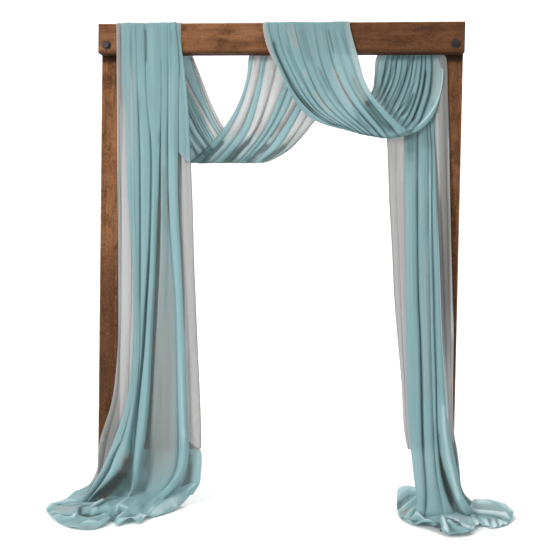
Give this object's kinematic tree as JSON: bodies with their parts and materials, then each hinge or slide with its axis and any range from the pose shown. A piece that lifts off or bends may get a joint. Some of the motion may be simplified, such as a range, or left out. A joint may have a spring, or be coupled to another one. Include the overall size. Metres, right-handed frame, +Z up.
{
  "type": "draped wedding arch",
  "caption": "Square timber wedding arch with turquoise and pale chiffon draped over its beam in swags, falling past both posts to the floor.",
  "frame": {"origin": "on the floor, at the middle of the arch's footprint with its cloth", "axes": "+Z up, +X to the viewer's right along the beam, -Y out of the draped front"},
  "size_m": [2.378, 0.9298, 2.452],
  "materials": {
    "beam_timber": "rough sawn, stained mid brown",
    "post_timber": "rough sawn, stained brown",
    "foot_timber": "rough sawn, stained dark brown",
    "dark_steel": "blackened steel",
    "zinc_steel": "zinc plated",
    "turquoise_chiffon": "sheer matt chiffon",
    "pale_chiffon": "sheer pale grey chiffon"
  },
  "bodies": {
    "root": {"header_beam": "beam_timber", "left_post": "post_timber", "right_post": "post_timber", "left_foot": "foot_timber", "right_foot": "foot_timber", "left_front_angle": "zinc_steel", "left_back_angle": "zinc_steel", "right_front_angle": "zinc_steel", "right_back_angle": "zinc_steel", "left_bolt": "dark_steel", "right_bolt": "dark_steel", "left_front_washer": "dark_steel", "left_back_washer": "dark_steel", "right_front_washer": "dark_steel", "right_back_washer": "dark_steel", "left_nut": "dark_steel", "right_nut": "dark_steel", "cloth_hook_1": "zinc_steel", "cloth_hook_2": "zinc_steel", "left_fall": "turquoise_chiffon", "left_fall_underlay": "pale_chiffon", "left_beam_wrap": "turquoise_chiffon", "centre_beam_wrap": "turquoise_chiffon", "swag_1_left_leg": "turquoise_chiffon", "swag_1_right_leg": "turquoise_chiffon", "swag_1_belly": "turquoise_chiffon", "swag_2_front": "turquoise_chiffon", "swag_2_belly": "turquoise_chiffon", "swag_2_back_leg": "turquoise_chiffon", "right_fall": "turquoise_chiffon", "right_fall_underlay": "pale_chiffon", "left_puddle": "turquoise_chiffon", "right_puddle": "turquoise_chiffon"}
  },
  "joints": []
}
